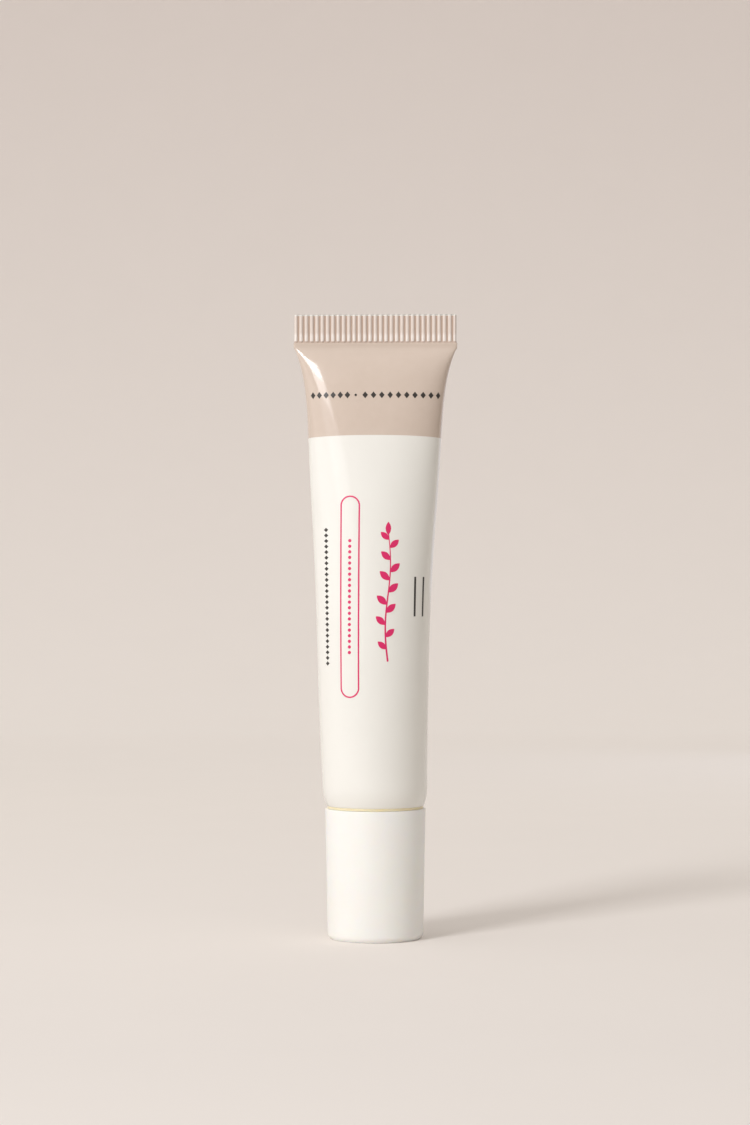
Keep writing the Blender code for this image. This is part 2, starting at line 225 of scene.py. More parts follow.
def surface(name, tones, gloss, relief, **sockets):
    """A finish of this object, whose three patterns are noise of a real size.

    Tones are two close colours and their patches' width, gloss is two roughnesses and
    theirs, and relief is the height and width of its waves, all in millimetres.
    """
    material = bpy.data.materials.new(name)
    material.use_nodes = True
    tree = material.node_tree
    shader = tree.nodes["Principled BSDF"]
    for key, value in sockets.items():
        shader.inputs[key.replace("_", " ")].default_value = value
    place = add_node(tree, "ShaderNodeTexCoord").outputs["Object"]
    noises = []
    for width, detail in ((tones[2], 4.0), (gloss[2], 3.0), (relief[1], 2.0)):
        scale = {"Vector": place, "Scale": 1 / (width * MM), "Detail": detail}
        noises.append(add_node(tree, "ShaderNodeTexNoise", scale).outputs["Fac"])
    pair = {MIX_FACTOR: noises[0], MIX_A: colour(tones[0]), MIX_B: colour(tones[1])}
    tone = add_node(tree, "ShaderNodeMix", pair, data_type="RGBA")
    span = {"Value": noises[1], "To Min": gloss[0], "To Max": gloss[1]}
    rough = add_node(tree, "ShaderNodeMapRange", span)
    waves = {"Height": noises[2], "Distance": relief[0] * MM}
    bump = add_node(tree, "ShaderNodeBump", waves)
    tree.links.new(tone.outputs[MIX_RESULT], shader.inputs["Base Color"])
    tree.links.new(rough.outputs["Result"], shader.inputs["Roughness"])
    tree.links.new(bump.outputs["Normal"], shader.inputs["Normal"])
    return material


def extruded_sleeve_plastic():
    """White LDPE, extruded and varnished: near white, glossy, faint orange peel."""
    return surface(
        "ldpe_white_extruded_varnished",
        ("F1F0EA", "F5F4EF", 9.0),
        (0.09, 0.14, 2.5),
        (0.004, 0.8),
        IOR=1.51,
    )


def band_ink():
    """Taupe flexo ink under the same varnish: a soft brown-pink, as glossy as the sleeve.

    Over the ribbed seal it carries painted shade in the grooves and just under the ribs, and a
    painted highlight along each ridge, lightest at the ridges' feet.
    """
    material = surface(
        "flexo_ink_taupe_varnished",
        ("D3C2B4", "D8C8BB", 1.6),
        (0.09, 0.13, 2.5),
        (0.004, 0.8),
        IOR=1.51,
    )
    tree = material.node_tree
    shader = tree.nodes["Principled BSDF"]
    ink = shader.inputs["Base Color"].links[0].from_socket
    place = add_node(tree, "ShaderNodeTexCoord")
    split = add_node(tree, "ShaderNodeSeparateXYZ", {"Vector": place.outputs["Object"]})
    ribs = {0: split.outputs["X"], 1: 1 / (RIB_PITCH * MM)}
    ribs = add_node(tree, "ShaderNodeMath", ribs, operation="MULTIPLY")
    off = {0: ribs.outputs["Value"], 1: 0.5}
    off = add_node(tree, "ShaderNodeMath", off, operation="PINGPONG")
    groove, crest = PAINTED_HIGHLIGHT_FLANK
    on_rib = {"Value": off.outputs["Value"], "From Min": groove, "From Max": crest}
    on_rib = add_node(tree, "ShaderNodeMapRange", on_rib).outputs["Result"]
    shares = []
    for low, high in (PAINTED_SHADE_RISE, PAINTED_HIGHLIGHT_RISE, PAINTED_FOOT_HIGHLIGHT):
        rise = {
            "Value": split.outputs["Z"],
            "From Min": (RIB_FOOT + low) * MM,
            "From Max": (RIB_FOOT + high) * MM,
        }
        rise = add_node(tree, "ShaderNodeMapRange", rise, interpolation_type="SMOOTHSTEP")
        shares.append(rise.outputs["Result"])
    # Masks of the painted shade, of the painted ridge highlight's rise, and of the painted
    # highlight at the ridges' feet
    painted_shade, highlight_rise, foot_highlight = shares
    # thin: where the painted ridge highlight lies
    thin = {0: on_rib, 1: highlight_rise}
    thin = add_node(tree, "ShaderNodeMath", thin, operation="MULTIPLY").outputs["Value"]
    # Painted shade in the grooves and just under the ribs
    pair = {MIX_FACTOR: painted_shade, MIX_A: ink, MIX_B: colour("C0A899")}
    shaded_ink = add_node(tree, "ShaderNodeMix", pair, data_type="RGBA").outputs[MIX_RESULT]
    # Painted highlight colours for the ridges, lightest at their feet
    pair = {MIX_FACTOR: foot_highlight, MIX_A: colour("E6DAD1"), MIX_B: colour("F3EBE5")}
    highlight_tone = add_node(tree, "ShaderNodeMix", pair, data_type="RGBA").outputs[MIX_RESULT]
    # The ridges take the painted highlight, the grooves keep the painted shade
    pair = {MIX_FACTOR: thin, MIX_A: shaded_ink, MIX_B: highlight_tone}
    pressed = add_node(tree, "ShaderNodeMix", pair, data_type="RGBA").outputs[MIX_RESULT]
    tree.links.new(pressed, shader.inputs["Base Color"])
    return material


def crimson_ink():
    """Crimson screen ink: a full pink-red, slightly less glossy than the varnish."""
    return surface(
        "screen_ink_crimson",
        ("DC2466", "E43070", 0.5),
        (0.25, 0.35, 0.7),
        (0.002, 0.3),
        IOR=1.5,
    )


def charcoal_ink():
    """Charcoal screen ink: warm near-black."""
    return surface(
        "screen_ink_charcoal",
        ("332F2C", "3D3835", 0.5),
        (0.25, 0.35, 0.7),
        (0.002, 0.3),
        IOR=1.5,
    )


def cap_plastic():
    """Ivory polypropylene, injection moulded: satin, with a faint grain."""
    return surface(
        "pp_ivory_moulded_satin",
        ("F9F7F1", "FCFBF6", 14.0),
        (0.34, 0.42, 3.0),
        (0.003, 0.3),
        IOR=1.49,
        Subsurface_Weight=0.4,
        Subsurface_Radius=(1.0, 0.75, 0.5),
        Subsurface_Scale=1.0 * MM,
    )


def insert_plastic():
    """White polypropylene, moulded with no polish: duller than the cap."""
    return surface(
        "pp_white_moulded_matt",
        ("F0EDE4", "F5F2EA", 6.0),
        (0.42, 0.52, 2.0),
        (0.006, 0.4),
        IOR=1.49,
    )


def pad_foam():
    """White polyethylene foam, die cut: matt, with closed cells 0.3 mm wide."""
    material = surface(
        "pe_foam_white_die_cut",
        ("E9E6DD", "F1EFE8", 0.6),
        (0.8, 0.9, 1.0),
        (0.02, 0.15),
        IOR=1.5,
    )
    tree = material.node_tree
    shader = tree.nodes["Principled BSDF"]
    place = add_node(tree, "ShaderNodeTexCoord")
    cells = {"Vector": place.outputs["Object"], "Scale": 1 / (0.3 * MM)}
    cells = add_node(tree, "ShaderNodeTexVoronoi", cells)
    rough = shader.inputs["Normal"].links[0].from_socket
    pits = {"Height": cells.outputs["Distance"], "Distance": 0.05 * MM, "Normal": rough}
    pits = add_node(tree, "ShaderNodeBump", pits)
    tree.links.new(pits.outputs["Normal"], shader.inputs["Normal"])
    return material


def head_plastic():
    """Natural polyethylene, moulded, with oil behind it: a milky, golden edge, whose gold and
    brightness are partly painted warm light bounced in the narrow gap between sleeve and cap.
    """
    return surface(
        "pe_natural_moulded_golden",
        # These gold tones are partly the plastic's own and partly painted warm bounce light
        # for the gap between sleeve and cap
        ("FFE9B8", "FFF1CE", 2.0),
        (0.3, 0.4, 1.5),
        (0.004, 0.4),
        IOR=1.51,
        Subsurface_Weight=0.4,
        Subsurface_Radius=(1.0, 0.75, 0.5),
        Subsurface_Scale=1.0 * MM,
    )


def housing_plastic():
    """Natural polypropylene, moulded clear: milky glass with a soft gloss."""
    return surface(
        "pp_natural_moulded_clear",
        ("E6E3D9", "F0EEE6", 2.0),
        (0.2, 0.28, 1.2),
        (0.004, 0.5),
        IOR=1.49,
        Transmission_Weight=0.3,
    )


def ball_steel():
    """Stainless steel, ground and polished: a mirror with a trace of oil haze."""
    return surface(
        "stainless_steel_polished",
        ("C6C6C4", "CFCFCD", 2.0),
        (0.04, 0.1, 1.1),
        (0.0005, 0.6),
        Metallic=1.0,
    )


def oil_liquid():
    """Plant oil: clear, golden, bends light like glass."""
    return surface(
        "plant_oil_golden_clear",
        ("EDC35C", "F4D27A", 8.0),
        (0.01, 0.03, 4.0),
        (0.001, 3.0),
        IOR=1.47,
        Transmission_Weight=1.0,
    )


def paper_uncoated():
    """Beige background paper, uncoated: matt, and lighter towards the bend.

    What it adds to its own light is there for the camera, gloss and glass alone.
    """
    material = surface(
        "paper_beige_uncoated",
        ("E6E0DA", "E8E2DC", 30.0),
        (0.9, 1.0, 10.0),
        (0.02, 1.5),
        Specular_IOR_Level=0.1,
    )
    tree = material.node_tree
    shader = tree.nodes["Principled BSDF"]
    place = add_node(tree, "ShaderNodeUVMap", uv_map="along")
    split = add_node(tree, "ShaderNodeSeparateXYZ", {"Vector": place.outputs["UV"]})
    ramp = add_node(tree, "ShaderNodeValToRGB", {"Fac": split.outputs["Y"]})
    stops = ramp.color_ramp.elements
    while len(stops) < len(SWEEP_GLOW):
        stops.new(0.5)
    for stop, (run, code) in zip(stops, SWEEP_GLOW):
        stop.position = run
        stop.color = colour(code)
    tree.links.new(ramp.outputs["Color"], shader.inputs["Emission Color"])
    path = add_node(tree, "ShaderNodeLightPath")
    seen = path.outputs["Is Camera Ray"]
    for ray in ("Is Glossy Ray", "Is Transmission Ray"):
        either = {0: seen, 1: path.outputs[ray]}
        either = add_node(tree, "ShaderNodeMath", either, use_clamp=True)
        seen = either.outputs["Value"]
    tree.links.new(seen, shader.inputs["Emission Strength"])
    return material


def outline(half_x, half_y, power):
    """Points once round a section from the middle of its front, and the run to each.

    A power of 2 is an ellipse, and a higher one has flatter faces and tighter ends.
    """
    turns = np.linspace(0.0, FULL_TURN, SECTION_POINTS)
    sin, cos = np.sin(turns), np.cos(turns)
    x = half_x * np.sign(sin) * np.abs(sin) ** (2.0 / power)
    y = -half_y * np.sign(cos) * np.abs(cos) ** (2.0 / power)
    run = np.concatenate([[0.0], np.cumsum(np.hypot(np.diff(x), np.diff(y)))])
    return x, y, run


def smooth_step(x):
    """An S curve from 0 to 1, flat outside them."""
    x = min(1.0, max(0.0, x))
    return x * x * (3.0 - 2.0 * x)


def swelling(z, height, reach, gain):
    """A bell curve over height, gain wide at its middle."""
    return gain * math.exp(-(((z - height) / reach) ** 2))


def sleeve_bow(z):
    """How far the soft sleeve bows to the left between its stiff ends, as a negative X."""
    share = min(1.0, max(0.0, (z - SLEEVE_FOOT) / (FOLD - SLEEVE_FOOT)))
    return -BOW * math.sin(math.pi * share**BOW_PLACE) ** BOW_TAPER


def sleeve_plan(z):
    """Half width, half depth and power of the sleeve's section at this height.

    The half width follows the tube's outline, and the half depth keeps the girth. The
    outline is that of an ellipse of this girth, whose depth grows away from the fold.
    """
    below = max(0.0, (FOLD - z) / (FOLD - SLEEVE_FOOT))
    wedge = 1.0 - (1.0 - below) ** WEDGE_POWER
    belly = 1.0 - math.exp(-below / BELLY_REACH)
    share = (1.0 - BELLY_SHARE) * wedge + BELLY_SHARE * belly
    depth = SEAL_HALF + (SLEEVE_RADIUS - SEAL_HALF) * share
    b = 6.0 * SLEEVE_DIAMETER - 8.0 * depth
    c = 6.0 * depth**2 - 6.0 * SLEEVE_DIAMETER * depth + SLEEVE_DIAMETER**2
    width = (b + math.sqrt(b**2 - 24.0 * c)) / 12.0
    width += sum(swelling(z, *place) for place in SWELLINGS)
    power = 2.0
    power += FLAT_FACES * math.exp(-((below / FLAT_FACES_REACH) ** FLAT_FACES_FALL))
    power += TIGHT_ENDS * math.exp(-below / TIGHT_ENDS_REACH)
    low, high = SEAL_HALF, SLEEVE_RADIUS
    for _ in range(GIRTH_STEPS):
        depth = (low + high) / 2
        if outline(width, depth, power)[2][-1] > math.pi * SLEEVE_DIAMETER:
            high = depth
        else:
            low = depth
    return width + swelling(z, *FOLD_EARS), depth, power


def plan_heights():
    """Heights from foot to fold at which the plan is worked out, closest at the fold."""
    shares = [(i / PLAN_STEPS) ** PLAN_CROWDING for i in range(PLAN_STEPS, -1, -1)]
    return [FOLD - (FOLD - SLEEVE_FOOT) * share for share in shares]


PLAN_HEIGHTS = plan_heights()
PLANS = np.array([sleeve_plan(z) for z in PLAN_HEIGHTS]).T


def sleeve_section(z, inset=0.0):
    """Half width, half depth and power of the sleeve's section, with its foot rounded."""
    width, depth, power = (float(np.interp(z, PLAN_HEIGHTS, row)) for row in PLANS)
    rise = (z - SLEEVE_FOOT) / LIP_HEIGHT
    if rise < 1.0:
        edge = max(0.0, 1.0 - rise / LIP_ROUND_SHARE)
        inset += LIP_INSET * (1.0 - rise) ** 2 + LIP_ROUND * edge**2
    return width - inset, depth - inset, power


def around(half_x, half_y, power, quarters):
    """Points on a section, each at a distance round it counted in quarter girths.

    0 is the middle of the front, 1 the right edge, and -1 the left edge.
    """
    x, y, run = outline(half_x, half_y, power)
    at = np.mod(quarters, 4.0) * run[-1] / 4.0
    return np.interp(at, run, x), np.interp(at, run, y)


def seal_stations():
    """Distances round the seal, in mm from the middle of its front, and its quarter girth.

    There are twelve to each rib, so every ring of the sleeve has a line along every rib.
    """
    steps = (-0.48, -0.32, -0.31, -0.26, -0.18, -0.09, 0.0, 0.09, 0.18, 0.26, 0.31, 0.32)
    middles = [RIB_PITCH * (i - GROOVES / 2) for i in range(GROOVES + 1)]
    front = [middle + step for middle in middles for step in steps]
    front = [s for s in front if abs(s) < SEAL_STRAIGHT]
    front = [-SEAL_STRAIGHT] + front + [SEAL_STRAIGHT]
    bend = [SEAL_STRAIGHT + SEAL_HALF * math.pi * i / 8 for i in range(1, 8)]
    half = front + bend
    quarter = SEAL_STRAIGHT + SEAL_HALF * math.pi / 2
    return np.array(half + [s + 2 * quarter for s in half]), quarter


STATIONS, QUARTER = seal_stations()


def seal_plan(z):
    """Points of the flat seal at this height, with its grooves and their round ends."""
    s = np.mod(STATIONS + QUARTER, 4 * QUARTER) - QUARTER
    back = s > QUARTER
    s = np.where(back, 2 * QUARTER - s, s)
    flat = np.abs(s) <= SEAL_STRAIGHT + HAIR
    turn = (np.abs(s) - SEAL_STRAIGHT) / SEAL_HALF
    over = np.where(flat, 0.0, turn)
    x = np.sign(s) * (np.minimum(np.abs(s), SEAL_STRAIGHT) + SEAL_HALF * np.sin(over))
    y = SEAL_HALF * np.cos(over)
    full = min(1.0, max(0.0, (z - RIB_FOOT) / RIB_FOOT_ROUND))
    full = math.sqrt(1.0 - (1.0 - full) ** 2)
    off = (np.mod(s / RIB_PITCH + 0.5, 1.0) - 0.5) * RIB_PITCH
    round_top = np.sqrt(np.clip(1.0 - (off / RIB_HALF) ** 2, 0.0, 1.0))
    round_top = np.where(np.abs(s) > RIB_PITCH * GROOVES / 2, 1.0, round_top)
    ribs = RIB_RISE * (1.0 - round_top)
    y = y * (1.0 - (FLAT_INSET + full * (ribs - FLAT_INSET)) / SEAL_HALF)
    return x, np.where(back, y, -y)


def sleeve_ring(z, lift=0.0, inset=0.0):
    """Points round the sleeve's outside at this height, lifted off it or inset from it."""
    x, y = around(*sleeve_section(min(z, FOLD), inset), STATIONS / QUARTER)
    x = x + sleeve_bow(z)
    past_fold = (z - FOLD) / (RIB_FOOT - FOLD)
    blend = smooth_step(past_fold)
    if blend:
        flat_x, flat_y = seal_plan(z)
        x, y = x + blend * (flat_x - x), y + blend * (flat_y - y)
    if lift:
        points = np.stack([x, y], 1)
        along = np.roll(points, -1, 0) - np.roll(points, 1, 0)
        out = np.stack([along[:, 1], -along[:, 0]], 1)
        out /= np.linalg.norm(out, axis=1)[:, None]
        x, y = x + lift * out[:, 0], y + lift * out[:, 1]
    fall = CUT_FALL * (0.5 - x / (2 * SEAL_STRAIGHT + 2 * SEAL_HALF))
    fall *= min(1.0, max(0.0, past_fold))
    return np.stack([x, y, z - fall], 1)


def band_foot(lift):
    """The printed edge of the band, which dips where the flattened tube turns its sides."""
    low, high = (sleeve_ring(z, lift=lift) for z in (BAND_FOOT - BAND_DIP, BAND_FOOT))
    share = (high[:, :1] / np.abs(high[:, 0]).max()) ** 2
    return high + share * (low - high)


def skin(bm, rings):
    """Extrudes a circle through rings of equal count, and returns its first and last edges."""
    count = len(rings[0])
    bmesh.ops.create_circle(bm, segments=count, radius=1.0)
    bm.verts.ensure_lookup_table()
    place = bm.verts.layers.int.new("place_in_ring")
    for i, vert in enumerate(bm.verts):
        vert[place] = i
        vert.co = rings[0][i]
    edges = first = list(bm.edges)
    for points in rings[1:]:
        grown = bmesh.ops.extrude_edge_only(bm, edges=edges)["geom"]
        verts = {g for g in grown if isinstance(g, bmesh.types.BMVert)}
        for vert in verts:
            vert.co = points[vert[place]]
        edges = list({e for v in verts for e in v.link_edges if e.other_vert(v) in verts})
    return first, edges


def turned(corners, closed=False):
    """Spins (radius, height, rounding) corners about Z and bevels the rounded ones."""
    bm = bmesh.new()
    verts = [bm.verts.new((corner[0], 0.0, corner[1])) for corner in corners]
    edges = [bm.edges.new(pair) for pair in zip(verts, verts[1:])]
    if closed:
        edges.append(bm.edges.new((verts[-1], verts[0])))
    bmesh.ops.spin(
        bm,
        geom=verts + edges,
        cent=(0, 0, 0),
        axis=(0, 0, 1),
        dvec=(0, 0, 0),
        angle=FULL_TURN,
        steps=TURN_STEPS,
        use_merge=True,
        use_normal_flip=False,
        use_duplicate=False,
    )
    bmesh.ops.remove_doubles(bm, verts=bm.verts, dist=MERGE)
    bmesh.ops.recalc_face_normals(bm, faces=bm.faces)
    for radius, z, rounding in [c for c in corners if len(c) == 3]:
        here = {
            v
            for v in bm.verts
            if abs(math.hypot(v.co.x, v.co.y) - radius) < ON_CORNER
            and abs(v.co.z - z) < ON_CORNER
        }
        bmesh.ops.bevel(
            bm,
            geom=[e for e in bm.edges if here.issuperset(e.verts)],
            offset=rounding,
            offset_type="OFFSET",
            segments=BEVEL_STEPS,
            profile=0.5,
            affect="EDGES",
            clamp_overlap=True,
            material=-1,
        )
    return bm


def cut_thread(bm, radius, crest, low, high, shift):
    """Draws a right-hand ridge out of a spun wall, by its crest's height over the wall."""
    for vert in bm.verts:
        x, y, z = vert.co
        r = math.hypot(x, y)
        if abs(r - radius) > ON_WALL or not low - 1.0 < z < high + 1.0:
            continue
        turn = math.atan2(y, x) / FULL_TURN
        off = (z / THREAD_LEAD - turn - shift + 0.5) % 1.0 - 0.5
        middle = z - off * THREAD_LEAD
        ends = smooth_step((middle - low) / THREAD_FADE)
        ends *= smooth_step((high - middle) / THREAD_FADE)
        ridge = smooth_step((THREAD_HALF - abs(off * THREAD_LEAD)) / THREAD_FLANK)
        grown = r + crest * ends * ridge
        vert.co.x, vert.co.y = x * grown / r, y * grown / r


def steps_between(low, high, step):
    """Heights from low to high, about a step apart."""
    count = max(1, round((high - low) / step))
    return [low + (high - low) * i / count for i in range(count + 1)]


def finish_piece(bm, name, body, material, stands_for=()):
    """Ends a bmesh in millimetres as a named piece that rides on a CAD body."""
    bmesh.ops.scale(bm, vec=(MM, MM, MM), verts=bm.verts)
    bmesh.ops.recalc_face_normals(bm, faces=bm.faces)
    mesh = bpy.data.meshes.new(name)
    bm.to_mesh(mesh)
    bm.free()
    for mark in ("place_in_ring", "side"):
        if mark in mesh.attributes:
            mesh.attributes.remove(mesh.attributes[mark])
    mesh.materials.append(material)
    mesh.shade_smooth()
    mesh.set_sharp_from_angle(angle=SHARP_ANGLE)
    piece = bpy.data.objects.new(name, mesh)
    bpy.context.scene.collection.objects.link(piece)
    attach(piece, body)
    if stands_for:
        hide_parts(*stands_for)
    return piece


def make_cap_shell():
    """Outer cap: a straight wall on a foot that is an arc, with a shallow recess below."""
    side, bend, arc, arc_steps = 8.674, 1.6, 50.2, 8
    foot = []
    for i in range(arc_steps + 1):
        turn = math.radians(arc * i / arc_steps)
        height = bend * (math.sin(math.radians(arc)) - math.sin(turn))
        foot.append((side - bend * (1 - math.cos(turn)), height))
    floor, bore, rim = 7.68, 8.1, 9.1
    stand, recess, recess_height = 6.2, 5.9, 0.14
    gate, gate_edge, gate_height = 0.6, 0.9, 0.05
    shell = turned(
        [
            (0.0, CAP_FLOOR),
            (floor, CAP_FLOOR, 0.3),
            (bore, CAP_RIM, 0.25),
            (rim, CAP_RIM, 0.14),
            *foot,
            (stand, 0.0, 0.06),
            (recess, recess_height, 0.06),
            (gate_edge, recess_height),
            (gate, gate_height),
            (0.0, gate_height),
        ]
    )
    finish_piece(
        shell, "cap_outer_shell", "cap", cap_plastic(), ["cap_shell"]
    )


def make_cap_insert():
    """Inner cap: a bore with the thread that takes the neck."""
    foot, shoulder, rim, chamfer = 7.38, 7.75, 7.6, 6.75
    shoulder_height = 22.4
    heights = steps_between(INSERT_FLOOR, THREAD_WALL_TOP, THREAD_STEP)
    insert = turned(
        [
            (0.0, INSERT_FLOOR),
            *[(BORE_RADIUS, z) for z in heights],
            (chamfer, INSERT_RIM),
            (rim, INSERT_RIM, 0.12),
            (shoulder, shoulder_height),
            (foot, INSERT_FOOT, 0.2),
            (0.0, INSERT_FOOT),
        ]
    )
    cut_thread(insert, BORE_RADIUS, -BORE_CREST, low=17.2, high=22.4, shift=0.5)
    finish_piece(
        insert,
        "cap_threaded_insert",
        "cap",
        insert_plastic(),
        ["cap_insert"],
    )


def make_cap_pad():
    """Foam disc on the insert's floor, pressed hollow where the ball meets it."""
    radius, rounding = 6.28, 0.18
    pad = turned(
        [
            (0.0, PAD_TOP - 0.16),
            (1.0, PAD_TOP - 0.14),
            (1.9, PAD_TOP - 0.04),
            (2.5, PAD_TOP),
            (radius, PAD_TOP, rounding),
            (radius, PAD_FOOT, rounding),
            (0.0, PAD_FOOT),
        ]
    )
    disc = finish_piece(
        pad, "cap_foam_pad", "seal", pad_foam(), ["cap_seal_pad"]
    )


def sleeve_heights():
    """Heights of the sleeve's rings, closest where it rounds, flattens and is ribbed."""
    lip_rings, belly_rings, crowding = 10, 26, 1.8
    body_step, rib_step = 2.6, 1.1
    lip = [SLEEVE_FOOT + LIP_HEIGHT * (i / lip_rings) ** 2 for i in range(lip_rings + 1)]
    body = steps_between(SLEEVE_FOOT + LIP_HEIGHT, BAND_FOOT, body_step)[1:]
    shares = [(1 - i / belly_rings) ** crowding for i in range(1, belly_rings + 1)]
    belly = [FOLD - (FOLD - BAND_FOOT) * share for share in shares]
    fold = [FOLD + (RIB_FOOT - FOLD) * share for share in (0.25, 0.5, 0.75, 1.0)]
    ends = [RIB_FOOT + RIB_FOOT_ROUND * s for s in (0.03, 0.12, 0.3, 0.6, 1.0)]
    ribs = steps_between(ends[-1], SLEEVE_TOP - BARE_EDGE, rib_step)[1:]
    return lip + body + belly + fold + ends + ribs


def make_sleeve():
    """The white sleeve: open inside down to the weld, solid above it."""
    lead_in, inner_step = 0.6, 3.0
    inner = steps_between(SLEEVE_FOOT + lead_in, WELD_FOOT, inner_step)
    inner = [SLEEVE_FOOT, *inner]
    rings = [sleeve_ring(z, inset=SLEEVE_WALL) for z in inner[::-1]]
    rings += [sleeve_ring(z) for z in sleeve_heights()]
    rings.append(sleeve_ring(SLEEVE_TOP - CUT_ROUND))
    rings.append(sleeve_ring(SLEEVE_TOP, lift=-CUT_ROUND))
    bm = bmesh.new()
    for edges in skin(bm, rings):
        bmesh.ops.contextual_create(bm, geom=edges)
    finish_piece(
        bm,
        "sleeve",
        "tube",
        extruded_sleeve_plastic(),
        ["tube_sleeve"],
    )


def make_band():
    """The taupe ink that covers the sleeve's tail, as a thin film over its ribs."""
    above = [z for z in sleeve_heights() if z > BAND_FOOT + HAIR]
    outer = [band_foot(FILM)] + [sleeve_ring(z, lift=FILM) for z in above]
    under = [band_foot(-FILM)] + [sleeve_ring(z, lift=-FILM) for z in above]
    bm = bmesh.new()
    first, last = skin(bm, under[::-1] + outer)
    bmesh.ops.bridge_loops(bm, edges=first + last)
    finish_piece(bm, "band_print", "tube", band_ink())


def on_sleeve(across, z, lift):
    """Point at this distance round the sleeve from its front line, lifted off it, in mm."""
    half_x, half_y, power = sleeve_section(z)
    quarter = math.pi * SLEEVE_DIAMETER / 4
    x, y = (float(a[0]) for a in around(half_x, half_y, power, [across / quarter]))
    lean = []
    for value, half in ((x, half_x), (y, half_y)):
        lean.append(math.copysign(abs(value / half) ** (power - 1) / half, value))
    out = Vector(lean).normalized()
    return Vector((x + sleeve_bow(z) + lift * out.x, y + lift * out.y, z))


def print_on(bm, name, material, lift=FILM):
    """Cuts flat artwork (X round the sleeve, Z up) finely and wraps it as a thin film."""
    for axis, step in ((0, PRINT_STEP_ROUND), (2, PRINT_STEP_UP)):
        values = [v.co[axis] for v in bm.verts]
        normal = Vector((1.0, 0, 0)) if axis == 0 else Vector((0, 0, 1.0))
        for value in steps_between(min(values), max(values), step)[1:-1]:
            bmesh.ops.bisect_plane(
                bm,
                geom=bm.verts[:] + bm.edges[:] + bm.faces[:],
                plane_co=normal * value,
                plane_no=normal,
            )
    bmesh.ops.remove_doubles(bm, verts=bm.verts, dist=SLIVER)
    top = bmesh.ops.extrude_face_region(bm, geom=bm.faces[:])["geom"]
    raised = {g for g in top if isinstance(g, bmesh.types.BMVert)}
    for vert in bm.verts:
        height = lift if vert in raised else lift - 2 * FILM
        vert.co = on_sleeve(vert.co.x, vert.co.z, height)
    finish_piece(bm, name, "tube", material)


def flat_shape(bm, segments, half_x, half_z, place, angle=0.0, pointed=False):
    """A flat dot, lozenge or pointed leaf in the artwork's plane."""
    made = bmesh.ops.create_circle(bm, cap_ends=True, segments=segments, radius=1.0)
    if pointed:
        for vert in made["verts"]:
            vert.co.y *= abs(vert.co.y)
    lay = Matrix.Rotation(math.radians(90.0), 4, "X")
    turn = Matrix.Rotation(-angle, 4, "Y")
    shape = Matrix.Diagonal((half_x, 1.0, half_z, 1.0))
    move = Matrix.Translation((place[0], 0.0, place[1]))
    bmesh.ops.transform(bm, matrix=move @ turn @ shape @ lay, verts=made["verts"])


def pill_ring(bm, middle, half_x, half_z, stroke):
    """The outline of a pill, as a flat band of this stroke."""
    loops = []
    for radius in (half_x, half_x - stroke):
        made = bmesh.ops.create_circle(bm, segments=48, radius=radius)["verts"]
        lay = Matrix.Rotation(math.radians(90.0), 4, "X")
        bmesh.ops.transform(bm, matrix=lay, verts=made)
        reach = half_z - half_x
        for vert in made:
            if abs(vert.co.z) > HAIR:
                vert.co.z += math.copysign(reach, vert.co.z)
        bmesh.ops.translate(bm, vec=(middle[0], 0.0, middle[1]), verts=made)
        loops += list({e for v in made for e in v.link_edges})
    bmesh.ops.bridge_loops(bm, edges=loops)


def stroke_line(bm, path, widths):
    """A flat stroke along a path in the artwork's plane."""
    sides = []
    for i, (x, z) in enumerate(path):
        before, after = path[max(0, i - 1)], path[min(len(path) - 1, i + 1)]
        across = Vector((-(after[1] - before[1]), after[0] - before[0])).normalized()
        half = across * widths[i] / 2
        sides.append(((x + half.x, 0.0, z + half.y), (x - half.x, 0.0, z - half.y)))
    mark = bm.verts.layers.int.get("side") or bm.verts.layers.int.new("side")
    left, right = (bm.verts.new(side) for side in sides[0])
    edge = bm.edges.new((left, right))
    left[mark] = 1
    for pair in sides[1:]:
        grown = bmesh.ops.extrude_edge_only(bm, edges=[edge])["geom"]
        verts = [g for g in grown if isinstance(g, bmesh.types.BMVert)]
        for vert in verts:
            vert.co = pair[0] if vert[mark] else pair[1]
        edge = bm.edges.get(verts)


def print_pill(ink):
    """A pill outline left of the front line, with a row of dots in it."""
    across, half_width, half_length, stroke = -4.35, 1.84, 18.12, 0.27
    bm = bmesh.new()
    pill_ring(bm, (across, PRINT_MIDDLE), half_width, half_length, stroke)
    print_on(bm, "print_pill_outline", ink)
    dots, dot, pitch = 21, 0.3, 1.0
    bm = bmesh.new()
    for i in range(dots):
        z = PRINT_MIDDLE + (i - (dots - 1) / 2) * pitch
        flat_shape(bm, 16, dot, dot, (across, z))
    print_on(bm, "print_pill_dots", ink)


